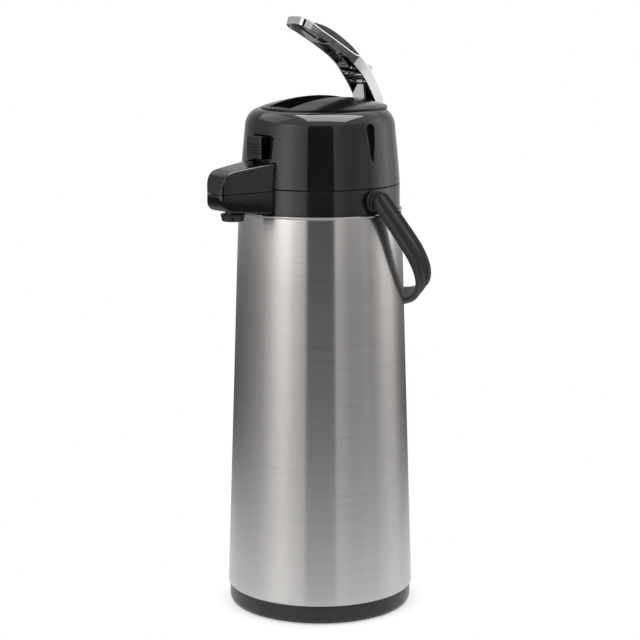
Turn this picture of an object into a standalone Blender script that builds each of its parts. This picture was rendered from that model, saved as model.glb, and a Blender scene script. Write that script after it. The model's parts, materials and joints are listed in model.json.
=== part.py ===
"""Thermal coffee airpot with a lever pump, built piece by piece.

Frame: origin on the body axis in the plane it stands on, +Z up, spout towards -Y.
All sizes below are in millimetres; MM turns them into metres.
"""

import math

import bmesh
import bpy
from mathutils import Matrix, Vector

MM = 0.001
GAP = 0.3                     # clearance between pieces that touch
FAR = 90.0                    # reach of a cutter past the wall it opens

# Base and steel shell
BASE_R = 69.6
SHELL_Z0, SHELL_Z1 = 14.6, 304.7
SHELL_R0, SHELL_R1 = 70.8, 60.9
SHELL_WALL = 0.8

# Vacuum flask
GLASS = 1.6
FLASK_R = 59.2
VACUUM = 2.6
FLASK_BEND_Z, FLASK_SHOULDER_Z = 45.0, 255.0
LIP_Z = 300.4
MOUTH_R = 28.8

# Collar
COLLAR_Z0, COLLAR_Z1 = 305.0, 323.3
COLLAR_R = 59.8
FLOOR_Z0, FLOOR_Z1 = 304.0, 306.6

# Head
HEAD_Z0, HEAD_SIDE_Z, RIM_Z = 323.6, 364.5, 378.9
HEAD_R0, HEAD_R1, RIM_R = 59.7, 56.1, 44.5
HEAD_WALL = 2.2
CROWN_R, CROWN_RISE, CROWN_WALL = 44.2, 7.6, 2.4
CROWN_EDGE_Z, CROWN_SKIRT_Z = 380.2, 376.0
CROWN_Y, CROWN_STRETCH = 4.5, 1.1
SLOT_HALF = 12.6
TRAY_Z0, TRAY_Z1 = 372.0, 374.5
PUMP_Z0, PUMP_Z1 = 331.6, 334.2
PLATE_Z0, PLATE_Z1 = 358.0, 360.5
LATCH_Z0, LATCH_Z1 = 345.0, 361.8
LATCH_SPRING_Y = -48.9
CHIMNEY_Y = 20.0
SCREW_ANGLES = (90.0, 210.0, 330.0)
SCOOP_TOP, SCOOP_LOW, SCOOP_R = (60.3, 367.6), (64.2, 343.4), 6.0   # shallow dent, axis as (x, z)

# Spout
SPOUT_ROOT_Y, SPOUT_TIP_Y = -54.5, -100.0
SPOUT_ROOT_HALF, SPOUT_TIP_HALF = 15.7, 10.4
SPOUT_SEAM_Z = 322.35
SPOUT_WALL = 2.2
NOZZLE_Y = -83.5
TUBE_Z, TUBE_R = 324.5, 4.2

# Lever: two arcs drawn about their own centres, and a round heel about the hinge
HINGE = Vector((0.0, 50.0, 374.0))
HEEL_R = 6.5
REAR_ARC_R, FRONT_ARC_R = 78.0, 260.0
ARC_START, ARC_JOIN, ARC_END = 14.0, 58.0, 69.0
LEVER_HALF, LEVER_SKIN = 11.6, 1.4
LEVER_DEPTH, LEVER_BELLY, TIP_LIFT = 8.2, 1.2, 2.4
LINK_TOP = Vector((0.0, 41.8, 396.5))
LINK_LOW = Vector((0.0, 36.0, 375.3))
CROSS_BAR = Vector((0.0, 39.4, 401.6))
PAD_START, PAD_END, PAD_DEPTH, PAD_RISE = 51.0, 67.4, 1.4, 2.1
KNOB_X, KNOB_ANGLE = 6.0, 38.5

# Bail handle
PIVOT_Z = 315.0
BAIL_ANGLE = 49.8             # degrees below level, hanging at the back
BAIL_OUT_X, BAIL_THICK = 70.8, 5.0
BAIL_STRAIGHT, BAIL_REACH = 40.0, 113.8
BAIL_POWER = 2.17             # roundness of the bow
BAIL_HALF_END, BAIL_HALF = 7.0, 7.7

# Lid hinge
LID_PIN = Vector((0.0, 64.5, 321.0))
KNUCKLE_R = 4.2

STEPS = 40                    # sides of the big turned pieces
FEWER = 24                    # sides of the inner ones


# ---------------------------------------------------------------- helpers

def clear_scene():
    for obj in list(bpy.data.objects):
        bpy.data.objects.remove(obj, do_unlink=True)


def new_collection(name):
    collection = bpy.data.collections.new(name)
    bpy.context.scene.collection.children.link(collection)
    return collection


clear_scene()
AIRPOT = new_collection("airpot")
CUTTERS = new_collection("cutters")


def material(name, colour, roughness, metallic=0.0):
    mat = bpy.data.materials.new(name)
    mat.use_nodes = True
    shader = mat.node_tree.nodes["Principled BSDF"]
    shader.inputs["Base Color"].default_value = (*colour, 1.0)
    shader.inputs["Roughness"].default_value = roughness
    shader.inputs["Metallic"].default_value = metallic
    return mat


BRUSHED = material("brushed_steel", (0.62, 0.61, 0.60), 0.32, 1.0)
STEEL = material("plain_steel", (0.60, 0.60, 0.61), 0.25, 1.0)
CHROME = material("chrome", (0.78, 0.78, 0.80), 0.08, 1.0)
GLOSS = material("gloss_black", (0.022, 0.021, 0.022), 0.14)
SATIN = material("satin_black", (0.030, 0.030, 0.031), 0.42)
RUBBER = material("black_rubber", (0.020, 0.020, 0.020), 0.75)
SILICONE = material("clear_silicone", (0.72, 0.72, 0.70), 0.50)
SILVERED = material("silvered_glass", (0.75, 0.76, 0.77), 0.06, 1.0)
WHITE = material("white_plastic", (0.72, 0.72, 0.74), 0.35)


def place(obj, mat=None):
    """Put an object in the model, or among the cutters when it has no material."""
    if mat is None:
        CUTTERS.objects.link(obj)
        obj.hide_render = True
        obj.display_type = "WIRE"
    else:
        AIRPOT.objects.link(obj)
        obj.data.materials.append(mat)
    return obj


def turned(name, outline, mat=None, centre=(0.0, 0.0), steps=STEPS):
    """Turn an outline of (radius, z) about a vertical axis; it runs down its outer side."""
    mesh = bpy.data.meshes.new(name)
    points = [(r * MM, 0.0, z * MM) for r, z in outline]
    on_axis = outline[0][0] == 0.0
    count = len(points)
    edges = [(i, (i + 1) % count) for i in range(count - 1 if on_axis else count)]
    mesh.from_pydata(points, edges, [])
    obj = bpy.data.objects.new(name, mesh)
    obj.location = (centre[0] * MM, centre[1] * MM, 0.0)
    screw = obj.modifiers.new("turn", "SCREW")
    screw.steps = screw.render_steps = steps
    screw.use_merge_vertices = True
    screw.merge_threshold = 0.000001
    screw.use_smooth_shade = True
    return place(obj, mat)


def slab(name, outline, half, mat=None, view="side"):
    """Extrude a flat outline both ways by half: side is (y, z) along X, plan is (x, y) along Z."""
    curve = bpy.data.curves.new(name, "CURVE")
    curve.dimensions = "2D"
    curve.fill_mode = "BOTH"
    curve.extrude = half * MM
    spline = curve.splines.new("POLY")
    spline.points.add(len(outline) - 1)
    for point, (a, b) in zip(spline.points, outline):
        point.co = (a * MM, b * MM, 0.0, 1.0)
    spline.use_cyclic_u = True
    obj = bpy.data.objects.new(name, curve)
    if view == "side":
        obj.rotation_euler = (math.pi / 2, 0.0, math.pi / 2)
    CUTTERS.objects.link(obj)
    return as_mesh(obj, mat)


def as_mesh(obj, mat=None, caps=True):
    """Replace a curve object with the welded mesh that it draws."""
    bpy.context.view_layer.update()
    depsgraph = bpy.context.evaluated_depsgraph_get()
    mesh = bpy.data.meshes.new_from_object(obj.evaluated_get(depsgraph))
    work = bmesh.new()
    work.from_mesh(mesh)
    if caps:
        bmesh.ops.remove_doubles(work, verts=work.verts, dist=0.000001)
    bmesh.ops.recalc_face_normals(work, faces=work.faces)
    work.to_mesh(mesh)
    work.free()
    mesh.materials.clear()
    name = obj.name
    result = bpy.data.objects.new(name + "_mesh", mesh)
    result.matrix_world = obj.matrix_world.copy()
    bpy.data.objects.remove(obj, do_unlink=True)
    result.name = name
    return place(result, mat)


def rod(name, start, end, radius, mat=None, sides=24):
    """A round bar between two points given in millimetres."""
    start, end = Vector(start), Vector(end)
    work = bmesh.new()
    bmesh.ops.create_cone(work, cap_ends=True, segments=sides, radius1=radius * MM,
                          radius2=radius * MM, depth=(end - start).length * MM)
    mesh = bpy.data.meshes.new(name)
    work.to_mesh(mesh)
    work.free()
    mesh.shade_smooth()
    mesh.set_sharp_from_angle(angle=math.radians(40))
    obj = bpy.data.objects.new(name, mesh)
    obj.matrix_world = (Matrix.Translation((start + end) / 2 * MM)
                        @ (end - start).to_track_quat("Z", "Y").to_matrix().to_4x4())
    return place(obj, mat)


def cross_rod(name, centre, half, radius, mat=None, sides=24):
    """A round bar along X, centred on a point."""
    reach = Vector((half, 0.0, 0.0))
    return rod(name, centre - reach, centre + reach, radius, mat, sides)


def box(name, low, high, mat=None):
    work = bmesh.new()
    bmesh.ops.create_cube(work, size=1.0)
    size = [(b - a) * MM for a, b in zip(low, high)]
    middle = [(a + b) / 2 * MM for a, b in zip(low, high)]
    bmesh.ops.scale(work, vec=size, verts=work.verts)
    bmesh.ops.translate(work, vec=middle, verts=work.verts)
    mesh = bpy.data.meshes.new(name)
    work.to_mesh(mesh)
    work.free()
    return place(bpy.data.objects.new(name, mesh), mat)


def combine(obj, other, operation):
    modifier = obj.modifiers.new(operation.lower(), "BOOLEAN")
    modifier.operation = operation
    modifier.object = other
    return obj


def cut(obj, *cutters):
    for cutter in cutters:
        combine(obj, cutter, "DIFFERENCE")
    return obj


def join(obj, *others):
    for other in others:
        combine(obj, other, "UNION")
    return obj


def arc(centre, radius, start, end, count, squash=1.0):
    """Points on an arc, angles in degrees; squash stretches it along the second axis."""
    points = []
    for i in range(count):
        angle = math.radians(start + (end - start) * i / (count - 1))
        points.append((centre[0] + radius * math.cos(angle),
                       centre[1] + radius * squash * math.sin(angle)))
    return points


def around(radius, degrees):
    angle = math.radians(degrees)
    return radius * math.cos(angle), radius * math.sin(angle)


def coil(name, centre, radius, wire, low, high, turns, mat):
    """A compression spring standing on its end."""
    per_turn = 10
    count = turns * per_turn + 1
    curve = bpy.data.curves.new(name, "CURVE")
    curve.dimensions = "3D"
    curve.bevel_depth = wire * MM
    curve.bevel_resolution = 1
    curve.use_fill_caps = True
    spline = curve.splines.new("POLY")
    spline.points.add(count - 1)
    for i, point in enumerate(spline.points):
        x, y = around(radius, 360 * i / per_turn)
        z = low + wire + (high - low - 2 * wire) * i / (count - 1)
        point.co = ((centre[0] + x) * MM, (centre[1] + y) * MM, z * MM, 1.0)
    return place(bpy.data.objects.new(name, curve), mat)


def pipe(name, route, radius, wall, mat):
    """A hollow hose along a smooth route of (y, z) points in the middle plane."""
    curve = bpy.data.curves.new(name, "CURVE")
    curve.dimensions = "3D"
    curve.bevel_depth = (radius - wall) * MM
    curve.bevel_resolution = 4
    spline = curve.splines.new("POLY")
    spline.points.add(len(route) - 1)
    for point, (y, z) in zip(spline.points, route):
        point.co = (0.0, y * MM, z * MM, 1.0)
    obj = bpy.data.objects.new(name, curve)
    CUTTERS.objects.link(obj)
    obj = as_mesh(obj, mat, caps=False)
    skin = obj.modifiers.new("wall", "SOLIDIFY")
    skin.thickness = wall * MM
    skin.offset = 1.0
    return obj


# ---------------------------------------------------------------- pot

def make_base():
    turned("base_ring", [
        (61.5, 22.0), (65.6, 22.0), (65.6, 14.3), (BASE_R, 14.3), (BASE_R, 3.8), (68.9, 1.7),
        (67.2, 0.8), (66.2, 0.8), (66.2, 2.9), (62.0, 2.9), (62.0, 0.8), (59.2, 0.8),
        (59.2, 12.0), (61.5, 13.6)], SATIN)
    turned("foot_ring", [(62.3, 2.6), (65.9, 2.6), (65.9, 0.3), (65.6, 0.0), (62.6, 0.0), (62.3, 0.3)],
           RUBBER)
    turned("bottom_cap", [(0.0, 3.2), (46.0, 3.2), (48.0, 9.5), (58.9, 9.5), (58.9, 1.0), (24.0, 1.0),
                          (22.5, 0.0), (0.0, 0.0)], SATIN)
    turned("flask_cushion", [(14.0, 9.5), (30.0, 13.0), (43.0, 20.5), (45.5, 20.5), (44.5, 3.5), (14.0, 3.5)],
           RUBBER, steps=FEWER)


def make_shell():
    top = SHELL_Z1
    inside = SHELL_R1 - SHELL_WALL
    turned("outer_shell", [
        (inside, top), (61.0, top - 0.1), (61.35, top - 0.8), (61.2, top - 1.7), (60.95, top - 2.3),
        (SHELL_R0, SHELL_Z0), (66.0, SHELL_Z0), (66.0, SHELL_Z0 + SHELL_WALL),
        (SHELL_R0 - SHELL_WALL, SHELL_Z0 + SHELL_WALL), (inside + 0.1, top - 2.3)], BRUSHED)


def flask_side(radius, neck, bottom, shoulder_rise, shoulder_z):
    """One face of a flask wall from its bottom on the axis up to the neck."""
    depth = FLASK_BEND_Z - bottom
    up = arc((0.0, FLASK_BEND_Z), radius, -90.0, 0.0, 6, depth / radius)
    up[0] = (0.0, bottom)
    reach = radius - neck
    return up + arc((neck, shoulder_z), reach, 0.0, 90.0, 5, shoulder_rise / reach)


def make_flask():
    neck = 34.6
    outside = flask_side(FLASK_R, neck, 12.0, 28.0, FLASK_SHOULDER_Z)
    inside = flask_side(FLASK_R - GLASS, neck - GLASS, 13.6, 26.4, FLASK_SHOULDER_Z)
    rim = LIP_Z - GLASS - GAP
    turned("flask_outer_wall", inside + [(neck - GLASS, rim), (neck, rim)] + outside[::-1],
           SILVERED, steps=FEWER)
    radius = FLASK_R - GLASS - VACUUM
    neck_in = MOUTH_R + GLASS
    outside = flask_side(radius, neck_in, 16.4, 25.0, FLASK_SHOULDER_Z - 2.4)
    inside = flask_side(radius - GLASS, MOUTH_R, 18.0, 23.4, FLASK_SHOULDER_Z - 2.4)
    lip = [(MOUTH_R, LIP_Z), (neck, LIP_Z), (neck, LIP_Z - GLASS), (neck_in, LIP_Z - GLASS)]
    turned("flask_inner_wall", inside + lip + outside[::-1], SILVERED, steps=FEWER)
    turned("neck_gasket", [(29.5, 303.5), (37.5, 303.5), (37.5, 295.0), (35.0, 295.0), (35.0, 300.7),
                           (29.5, 300.7)], SILICONE, steps=FEWER)


def make_screw(name, x, y, head_z, down, length):
    """A pan-head screw; down is -1 when its shank points down, 1 when it points up."""
    head, shank, thick = 3.0, 1.4, 1.8
    low = [(0.0, head_z - down * thick), (head, head_z - down * thick), (head, head_z), (shank, head_z),
           (shank, head_z + down * length), (0.0, head_z + down * length)]
    turned(name, low if down < 0 else low[::-1], STEEL, (x, y), 16)


def make_collar():
    collar = turned("collar", [
        (57.0, COLLAR_Z1), (COLLAR_R - 0.1, COLLAR_Z1), (COLLAR_R + 0.1, COLLAR_Z0), (59.5, COLLAR_Z0),
        (59.5, 297.0), (56.5, 297.0), (56.5, FLOOR_Z0), (46.0, FLOOR_Z0), (46.0, FLOOR_Z1),
        (57.0, FLOOR_Z1)], SATIN)
    y, z = LID_PIN.y, LID_PIN.z
    ear = [(57.3, 307.5), (60.5, 307.5), (66.5, 315.0)] + arc((y, z), KNUCKLE_R, -20.0, 180.0, 9)
    ear += [(57.3, 320.5)]
    for side, name in ((-1, "left"), (1, "right")):
        block = slab("collar_ear_" + name, ear, 3.0)
        block.location.x = side * 11.0 * MM
        join(collar, block)
    cut(collar, cross_rod("lid_bore", LID_PIN, 20.0, 1.9))
    cut(collar, box("collar_spout_notch", (-16.2, -FAR, 304.8), (16.2, -54.0, 340.0)))
    cut(collar, cross_rod("boss_bore", Vector((0.0, 0.0, PIVOT_Z)), FAR, 5.0))
    ring = turned("mouth_ring", [
        (30.5, 312.0), (34.0, 312.0), (38.0, 309.3), (54.5, 309.3), (54.5, 306.9), (45.7, 306.9),
        (45.7, 303.8), (30.0, 303.8), (29.5, 310.0)], SATIN, steps=FEWER)
    for number, angle in enumerate(SCREW_ANGLES, 1):
        x, y = around(50.0, angle)
        hole = rod("collar_screw_hole_%d" % number, (x, y, 298.0), (x, y, 315.0), 1.8, sides=16)
        cut(collar, hole)
        cut(ring, hole)
        make_screw("collar_screw_%d" % number, x, y, 309.6, -1, 8.0)
    rod("lid_hinge_pin", LID_PIN - Vector((14.5, 0, 0)), LID_PIN + Vector((14.5, 0, 0)), 1.5, STEEL)


def make_stem():
    turned("stem_gasket", [(31.0, 314.1), (34.0, 314.1), (34.0, 312.3), (31.0, 312.3)], SILICONE, steps=FEWER)
    seat = turned("stem_seat", [
        (5.0, 317.0), (34.0, 317.0), (34.0, 314.4), (28.2, 314.4), (28.2, 298.0), (26.2, 298.0),
        (26.2, 313.0), (8.0, 313.0), (8.0, 304.0), (5.0, 304.0)], SATIN, steps=FEWER)
    cut(seat, rod("chimney_hole", (0, CHIMNEY_Y, 300.0), (0, CHIMNEY_Y, 332.0), 6.3))
    turned("air_chimney", [(4.0, 328.6), (6.0, 328.6), (6.0, 312.0), (4.0, 312.0)], SATIN,
           (0.0, CHIMNEY_Y), 24)
    turned("dip_tube", [(3.6, 323.0), (TUBE_R, 323.0), (TUBE_R, 24.0), (3.6, 24.0)], STEEL, steps=20)
    elbow = turned("stem_elbow", [(0.0, 330.0), (6.5, 330.0), (6.5, 317.3), (0.0, 317.3)], SATIN, steps=24)
    join(elbow, rod("elbow_arm", (0, 0, TUBE_Z), (0, -38.0, TUBE_Z), 5.0))
    cut(elbow, rod("elbow_arm_bore", (0, -1.0, TUBE_Z), (0, -FAR, TUBE_Z), 3.4))
    cut(elbow, rod("elbow_stem_bore", (0, 0, 310.0), (0, 0, TUBE_Z), 4.6))
    bend = arc((NOZZLE_Y + 6.5, TUBE_Z - 6.5), 6.5, 90.0, 180.0, 6)
    route = [(-38.4, TUBE_Z), (-58.0, TUBE_Z)] + bend + [(NOZZLE_Y, 316.0)]
    pipe("spout_tube", route, TUBE_R, 0.9, SILICONE)


def spout_plan(inset):
    half_root, half_tip = SPOUT_ROOT_HALF - inset, SPOUT_TIP_HALF - inset
    tip = SPOUT_TIP_Y + inset
    corner = 2.2
    right = [(half_root, SPOUT_ROOT_Y + (FAR if inset else 0.0)), (half_root, -57.4), (half_tip, tip + corner),
             (half_tip - 0.6, tip + 0.8), (half_tip - corner, tip), (half_tip / 2, tip - 1.1)]
    return right + [(-x, y) for x, y in right[::-1]]


def spout_side(inset, low, high):
    """Side outline of the spout between two heights of the seam, walls pulled in by inset."""
    root = SPOUT_ROOT_Y + (FAR if inset else 0.0)
    top = [(root, high), (root, 342.4 - inset), (-62.0, 342.2 - inset), (-91.0, 338.6 - inset),
           (-95.8 + inset, 337.0 - inset), (-98.6 + inset, 333.4), (-100.7 + inset, 328.0),
           (-101.6 + inset, high)]
    bottom = [(-101.6 + inset, low), (-100.8 + inset, 316.6), (-98.9 + inset, 312.2),
              (-95.6 + inset, 309.8 + inset), (-91.5, 308.8 + inset), (root, 305.3 + inset), (root, low)]
    return top, bottom


def make_spout():
    seam_high, seam_low = SPOUT_SEAM_Z + GAP, SPOUT_SEAM_Z - GAP
    top, bottom = spout_side(0.0, seam_low, seam_high)
    cover = slab("spout_cover", top, 20.0, GLOSS)
    base = slab("spout_base", bottom, 20.0, GLOSS)
    top, bottom = spout_side(SPOUT_WALL, seam_low, seam_high)
    core = slab("spout_core", top[1:] + bottom[:-1], 20.0)
    plan = slab("spout_plan", spout_plan(0.0), 60.0, view="plan")
    plan_core = slab("spout_plan_core", spout_plan(SPOUT_WALL), 60.0, view="plan")
    for shape in (plan, plan_core):
        shape.location.z = SPOUT_SEAM_Z * MM
    combine(core, plan_core, "INTERSECT")
    for half in (cover, base):
        combine(half, plan, "INTERSECT")
        cut(half, core)
    cut(base, rod("nozzle_hole", (0, NOZZLE_Y, 300.0), (0, NOZZLE_Y, 316.0), 6.0))
    turned("nozzle", [(3.4, 315.6), (5.6, 315.6), (5.6, 306.8), (9.0, 306.8), (7.75, 301.6), (3.4, 301.6)],
           SATIN, (0.0, NOZZLE_Y), 24)


def make_handle_mounts():
    for side, name in ((-1, "left"), (1, "right")):
        boss = rod("handle_boss_" + name, (side * 60.2, 0, PIVOT_Z), (side * 62.6, 0, PIVOT_Z), 8.2, SATIN)
        join(boss, rod("boss_neck_" + name, (side * 56.6, 0, PIVOT_Z), (side * 64.0, 0, PIVOT_Z), 4.6))
        join(boss, rod("boss_disc_" + name, (side * 63.4, 0, PIVOT_Z), (side * 65.2, 0, PIVOT_Z), 7.6))
        cut(boss, rod("boss_hole_" + name, (side * 50.0, 0, PIVOT_Z), (side * 75.0, 0, PIVOT_Z), 3.3))
        rod("handle_pin_" + name, (side * 56.0, 0, PIVOT_Z), (side * 69.0, 0, PIVOT_Z), 3.0, STEEL)


# ---------------------------------------------------------------- head

def head_side(inset):
    """The head's outer face, top to bottom, pulled in by inset."""
    shoulder = arc((RIM_R, HEAD_SIDE_Z), HEAD_R1 - RIM_R - inset, 90.0, 0.0, 8,
                   (RIM_Z - HEAD_SIDE_Z - inset) / (HEAD_R1 - RIM_R - inset))
    return shoulder + [(57.8 - inset, 347.4), (58.9 - inset, 335.4), (HEAD_R0 - inset, HEAD_Z0)]


def make_head_shell():
    shell = turned("head_shell", head_side(0.0) + head_side(HEAD_WALL)[::-1], GLOSS)
    y, z = LID_PIN.y, LID_PIN.z
    knuckle = arc((y, z), KNUCKLE_R, 180.0, 400.0, 10) + [(57.4, 334.0), (57.4, 324.0), (60.3, 324.0)]
    join(shell, slab("lid_knuckle", knuckle, 7.6))
    for number, angle in enumerate(SCREW_ANGLES, 1):
        x, y = around(52.3, angle)
        join(shell, rod("screw_boss_%d" % number, (x, y, PUMP_Z1 + GAP), (x, y, 350.0), 4.0, sides=20))
        bore = rod("boss_screw_bore_%d" % number, (x, y, 328.0), (x, y, 344.0), 1.8, sides=16)
        cut(shell, bore)
        make_screw("head_screw_%d" % number, x, y, PUMP_Z0 - GAP, 1, 11.0)
    for side, name in ((-1, "left"), (1, "right")):
        (x_top, z_top), (x_low, z_low) = SCOOP_TOP, SCOOP_LOW
        cut(shell, rod("scoop_" + name, (side * x_top, 0, z_top), (side * x_low, 0, z_low), SCOOP_R))
    cut(shell, bpy.data.objects["lid_bore"])
    cut(shell, box("head_spout_notch", (-16.2, -FAR, 310.0), (16.2, -50.0, 342.9)))
    cut(shell, box("head_latch_slot", (-9.5, -FAR, 330.0), (9.5, -50.0, 362.4)))
    cut(shell, box("head_heel_notch", (-SLOT_HALF, 36.0, 364.5), (SLOT_HALF, FAR, 400.0)))


def dome(name, inset, skirt, mat=None):
    """Low dome with an egg-shaped plan, longer towards the back, pulled in by inset."""
    radius, rise = CROWN_R - inset, CROWN_RISE
    big = (radius ** 2 + rise ** 2) / (2 * rise)
    edge = math.degrees(math.acos(radius / big))
    outline = arc((0.0, CROWN_EDGE_Z - inset + rise - big), big, 90.0, edge, 8)
    outline[0] = (0.0, outline[0][1])
    obj = turned(name, outline + [(radius, skirt), (0.0, skirt)], mat)
    obj.location.y = CROWN_Y * MM
    obj.scale.y = CROWN_STRETCH
    return obj


def make_crown():
    crown = dome("crown_cover", 0.0, CROWN_SKIRT_Z, GLOSS)
    cut(crown, dome("crown_inside", CROWN_WALL, 350.0))
    over = turned("over_head", [(RIM_R - GAP, RIM_Z + GAP)] + head_side(-GAP) + [(RIM_R - GAP, HEAD_Z0)])
    cut(crown, over)
    tray = box("tray_block", (-15.0, -42.0, TRAY_Z0), (15.0, 43.0, 390.0))
    combine(tray, dome("tray_limit", CROWN_WALL - 0.8, 350.0), "INTERSECT")
    cut(tray, over)
    join(crown, tray)
    cut(crown, box("lever_slot", (-SLOT_HALF, -40.0, TRAY_Z1), (SLOT_HALF, FAR, 400.0)))
    cut(crown, box("link_opening", (-8.0, 27.0, 360.0), (8.0, FAR, 380.0)))


def make_lever_bracket():
    bracket = box("lever_bracket", (-12.0, 41.2, 361.6), (12.0, 52.2, 364.0), SATIN)
    y, z = HINGE.y, HINGE.z
    ear = [(45.5, 363.0), (51.0, 363.0)] + arc((y, z), 4.5, -60.0, 180.0, 11)
    for side, name in ((-1, "left"), (1, "right")):
        plate = slab("bracket_ear_" + name, ear, 1.3)
        plate.location.x = side * 7.3 * MM
        join(bracket, plate)
    cut(bracket, cross_rod("hinge_bore", HINGE, 20.0, 2.0))
    cross_rod("lever_hinge_pin", HINGE, 11.8, 1.6, STEEL)


def make_pump():
    base = turned("pump_base", [(0.0, PUMP_Z1), (55.4, PUMP_Z1), (55.4, PUMP_Z0), (0.0, PUMP_Z0)],
                  SATIN, steps=FEWER)
    cut(base, box("pump_front_left", (-17.0, -FAR, 325.0), (-5.6, -45.0, 340.0)))
    cut(base, box("pump_front_right", (5.6, -FAR, 325.0), (17.0, -45.0, 340.0)))
    cut(base, box("pump_front_end", (-17.0, -FAR, 325.0), (17.0, -53.0, 340.0)))
    cut(base, rod("air_hole", (0, CHIMNEY_Y, 325.0), (0, CHIMNEY_Y, 345.0), 4.0))
    for number in range(1, len(SCREW_ANGLES) + 1):
        cut(base, bpy.data.objects["boss_screw_bore_%d" % number])
    turned("air_seal", [(4.2, 331.3), (6.4, 331.3), (6.4, 328.9), (4.2, 328.9)], SILICONE,
           (0.0, CHIMNEY_Y), 20)
    turned("check_valve", [(0.0, 335.4), (6.4, 335.4), (6.4, 334.5), (0.0, 334.5)], RUBBER,
           (0.0, CHIMNEY_Y), 20)
    folds, low, high = 3, PUMP_Z1 + GAP, PLATE_Z0 - GAP
    pitch = (high - low) / folds
    wall = 1.1
    outer, inner = [], []
    for i in range(folds):
        z = high - pitch * i
        outer += [(31.0, z), (36.0, z - pitch / 2)]
        inner += [(31.0 - wall, z), (36.0 - wall * 1.4, z - pitch / 2)]
    outer.append((31.0, low))
    inner.append((31.0 - wall, low))
    turned("bellows", outer + inner[::-1], RUBBER, steps=FEWER)
    coil("return_spring", (0.0, 0.0), 11.5, 0.7, low, high, 4, STEEL)


def make_plunger():
    plate = turned("plunger_plate", [(2.6, PLATE_Z1), (36.5, PLATE_Z1), (36.5, PLATE_Z0), (2.6, PLATE_Z0)],
                   SATIN, steps=FEWER)
    y, z = LINK_LOW.y, LINK_LOW.z
    ear = [(32.6, PLATE_Z0 + 0.4), (39.4, PLATE_Z0 + 0.4)] + arc((y, z), 3.2, 0.0, 180.0, 8)
    join(plate, box("plunger_arm", (-6.5, 28.0, PLATE_Z0 + 0.2), (6.5, 39.6, PLATE_Z1 - 0.2)))
    for side, name in ((-1, "left"), (1, "right")):
        wing = slab("plunger_ear_" + name, ear, 1.0)
        wing.location.x = side * 5.5 * MM
        join(plate, wing)
    cut(plate, cross_rod("plunger_bore", LINK_LOW, 10.0, 1.8))
    cross_rod("plunger_pin", LINK_LOW, 7.2, 1.5, STEEL)
    turned("air_valve", [(0.0, 362.5), (2.2, 362.5), (2.2, PLATE_Z0 - GAP), (7.5, PLATE_Z0 - GAP),
                         (7.5, PLATE_Z0 - 1.1), (0.0, PLATE_Z0 - 1.1)], RUBBER, steps=20)


def make_latch():
    front = [(9.0, -52.0), (9.0, -62.4), (7.8, -63.6)] + [(4.5, -64.3)]
    face = front + [(-x, y) for x, y in front[::-1]]
    half = (LATCH_Z1 - LATCH_Z0) / 2
    button = slab("latch_button", face, half, GLOSS, view="plan")
    button.location.z = (LATCH_Z0 + half) * MM
    join(button, box("latch_carrier", (-8.6, -53.0, 347.8), (8.6, -46.5, 358.0)))
    for side, name in ((-1, "left"), (1, "right")):
        low, high = sorted((side * 6.4, side * 8.4))
        join(button, box("latch_leg_" + name, (low, -53.6, 324.6), (high, -51.0, 352.0)))
    for i in range(4):
        z = LATCH_Z0 + 4.2 + 2.1 * i
        groove = box("latch_groove_%d" % (i + 1), (-10.0, -66.0, z), (10.0, -63.0, z + 0.9))
        cut(button, groove)
    coil("latch_spring", (0.0, LATCH_SPRING_Y), 2.4, 0.35, PUMP_Z1 + GAP, 347.8 - GAP, 4, STEEL)


# ---------------------------------------------------------------- lever

def arc_centres():
    """Centres of the rear and the front arc of the lever's top line, as (y, z)."""
    start, turn = math.radians(ARC_START), math.radians(ARC_JOIN)
    reach = REAR_ARC_R - HEEL_R
    rear = (HINGE.y - reach * math.cos(start), HINGE.z - reach * math.sin(start))
    step = FRONT_ARC_R - REAR_ARC_R
    front = (rear[0] - step * math.cos(turn), rear[1] - step * math.sin(turn))
    return rear, front


REAR_CENTRE, FRONT_CENTRE = arc_centres()


def lever_line(offset, start, end, count):
    """Points on the lever's top line between two angles, moved outwards by offset(angle)."""
    points = []
    for i in range(count):
        angle = start + (end - start) * i / (count - 1)
        centre, radius = (REAR_CENTRE, REAR_ARC_R) if angle <= ARC_JOIN else (FRONT_CENTRE, FRONT_ARC_R)
        y, z = around(radius + offset(angle), angle)
        points.append((centre[0] + y, centre[1] + z))
    return points


def seat_depth(angle):
    """How far the pad's seat lies below the lever's top line."""
    share = (angle - PAD_START) / (PAD_END - PAD_START)
    return 0.9 + PAD_DEPTH * math.sin(math.pi * share) if 0.0 <= share <= 1.0 else 0.0


def pad_height(angle):
    """How far the pad's top stands above the lever's top line; it is fullest near the tip."""
    share = min(1.0, max(0.0, (angle - PAD_START) / (PAD_END - PAD_START)))
    return 0.3 + PAD_RISE * math.sin(math.pi * share ** 2.2)


def lever_depth(angle):
    share = (angle - ARC_START) / (ARC_END - ARC_START)
    return LEVER_DEPTH + LEVER_BELLY * math.sin(math.pi * share) - TIP_LIFT * share ** 4


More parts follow.
